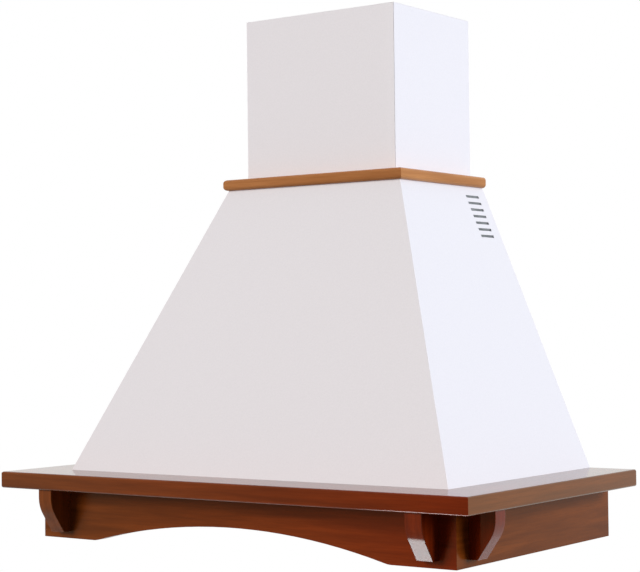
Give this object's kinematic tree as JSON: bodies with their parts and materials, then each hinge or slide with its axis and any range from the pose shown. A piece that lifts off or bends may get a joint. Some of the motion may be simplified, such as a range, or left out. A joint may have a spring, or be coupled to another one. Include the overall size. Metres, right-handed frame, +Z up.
{
  "type": "range hood",
  "caption": "Country-style wall range hood: white pyramid canopy and square chimney in a walnut shelf with an arched apron, hinged grease filters, lamps, push buttons and a drum blower.",
  "frame": {"origin": "centre of the wall screw pattern, on the wall plane behind the canopy", "axes": "+X along the wall to the right seen from the front, -Y out of the wall to the front, +Z up"},
  "size_m": [0.9, 0.52, 0.862],
  "materials": {
    "white_enamel": "smooth white powder coat",
    "walnut": "walnut stain under gloss varnish",
    "collar_wood": "lighter stain under gloss varnish",
    "galvanised_steel": "spangled zinc",
    "aluminium": "mill finish",
    "chrome": "polished",
    "frosted_glass": "frosted",
    "bulb_glass": "clear",
    "lamp_steel": "pressed sheet",
    "black_plastic": "moulded, fine grain",
    "button_plastic": "moulded, smooth",
    "box_plastic": "moulded",
    "motor_paint": "painted lamination stack and end shields",
    "rubber": "moulded",
    "bright_steel": "zinc plated"
  },
  "bodies": {
    "hood": {"apron_front": "walnut", "apron_left": "walnut", "apron_right": "walnut", "back_panel": "galvanised_steel", "base_tray": "white_enamel", "cable_gland": "black_plastic", "canopy_front": "white_enamel", "canopy_left": "white_enamel", "canopy_right": "white_enamel", "canopy_screws": "bright_steel", "chimney_bracket": "galvanised_steel", "chimney_cover": "white_enamel", "collar_front": "collar_wood", "collar_left": "collar_wood", "collar_right": "collar_wood", "control_fascia": "black_plastic", "corbel_front_left": "walnut", "corbel_front_right": "walnut", "corbel_side_left": "walnut", "corbel_side_right": "walnut", "deck_screws": "bright_steel", "junction_box": "box_plastic", "junction_cover": "box_plastic", "lamp_bezel_left": "chrome", "lamp_bezel_right": "chrome", "lamp_bulb_left": "bulb_glass", "lamp_bulb_right": "bulb_glass", "lamp_holder_left": "lamp_steel", "lamp_holder_right": "lamp_steel", "lamp_lens_left": "frosted_glass", "lamp_lens_right": "frosted_glass", "motor": "motor_paint", "motor_bracket": "galvanised_steel", "motor_capacitor": "aluminium", "motor_grommets": "rubber", "outlet_spigot": "galvanised_steel", "scroll_left": "galvanised_steel", "scroll_right": "galvanised_steel", "shelf_front": "walnut", "shelf_left": "walnut", "shelf_right": "walnut", "switch_box": "black_plastic", "terminal_block": "box_plastic", "top_deck": "galvanised_steel", "tray_screws": "bright_steel"},
    "rotor": {"impeller": "black_plastic", "motor_shaft": "bright_steel"},
    "flap_front": {"flap_front": "aluminium"},
    "flap_rear": {"flap_rear": "aluminium"},
    "filter_left": {"filter_frame_left": "aluminium", "filter_mesh_left": "aluminium"},
    "filter_right": {"filter_frame_right": "aluminium", "filter_mesh_right": "aluminium"},
    "latch_left": {"filter_latch_left": "black_plastic"},
    "latch_right": {"filter_latch_right": "black_plastic"},
    "button_off": {"button_off": "button_plastic"},
    "button_low": {"button_low": "button_plastic"},
    "button_medium": {"button_medium": "button_plastic"},
    "button_high": {"button_high": "button_plastic"},
    "button_light": {"button_light": "button_plastic"}
  },
  "joints": [
    {"name": "fan_spin", "type": "hinge", "parent": "hood", "child": "rotor", "pos_m": [0, -0.18908, 0.016], "axis": [1, 0, 0], "continuous": true},
    {"name": "front_flap_swing", "type": "hinge", "parent": "hood", "child": "flap_front", "pos_m": [0, -0.12, 0.2308], "axis": [-1, 0, 0], "range_deg": [0, 75]},
    {"name": "rear_flap_swing", "type": "hinge", "parent": "hood", "child": "flap_rear", "pos_m": [0, -0.112, 0.2308], "axis": [1, 0, 0], "range_deg": [0, 75]},
    {"name": "filter_left_swing", "type": "hinge", "parent": "hood", "child": "filter_left", "pos_m": [-0.168, -0.049, -0.274], "axis": [1, 0, 0], "range_deg": [0, 75]},
    {"name": "latch_left_slide", "type": "slide", "parent": "filter_left", "child": "latch_left", "axis": [0, 1, 0], "range_m": [0, 0.006], "stiffness_N_per_m": 150, "springref_m": -0.006},
    {"name": "filter_right_swing", "type": "hinge", "parent": "hood", "child": "filter_right", "pos_m": [0.168, -0.049, -0.274], "axis": [1, 0, 0], "range_deg": [0, 75]},
    {"name": "latch_right_slide", "type": "slide", "parent": "filter_right", "child": "latch_right", "axis": [0, 1, 0], "range_m": [0, 0.006], "stiffness_N_per_m": 150, "springref_m": -0.006},
    {"name": "button_off_press", "type": "slide", "parent": "hood", "child": "button_off", "axis": [0, 0, 1], "range_m": [0, 0.003], "stiffness_N_per_m": 300, "springref_m": -0.003},
    {"name": "button_low_press", "type": "slide", "parent": "hood", "child": "button_low", "axis": [0, 0, 1], "range_m": [0, 0.003], "stiffness_N_per_m": 300, "springref_m": -0.003},
    {"name": "button_medium_press", "type": "slide", "parent": "hood", "child": "button_medium", "axis": [0, 0, 1], "range_m": [0, 0.003], "stiffness_N_per_m": 300, "springref_m": -0.003},
    {"name": "button_high_press", "type": "slide", "parent": "hood", "child": "button_high", "axis": [0, 0, 1], "range_m": [0, 0.003], "stiffness_N_per_m": 300, "springref_m": -0.003},
    {"name": "button_light_press", "type": "slide", "parent": "hood", "child": "button_light", "axis": [0, 0, 1], "range_m": [0, 0.003], "stiffness_N_per_m": 300, "springref_m": -0.003}
  ]
}
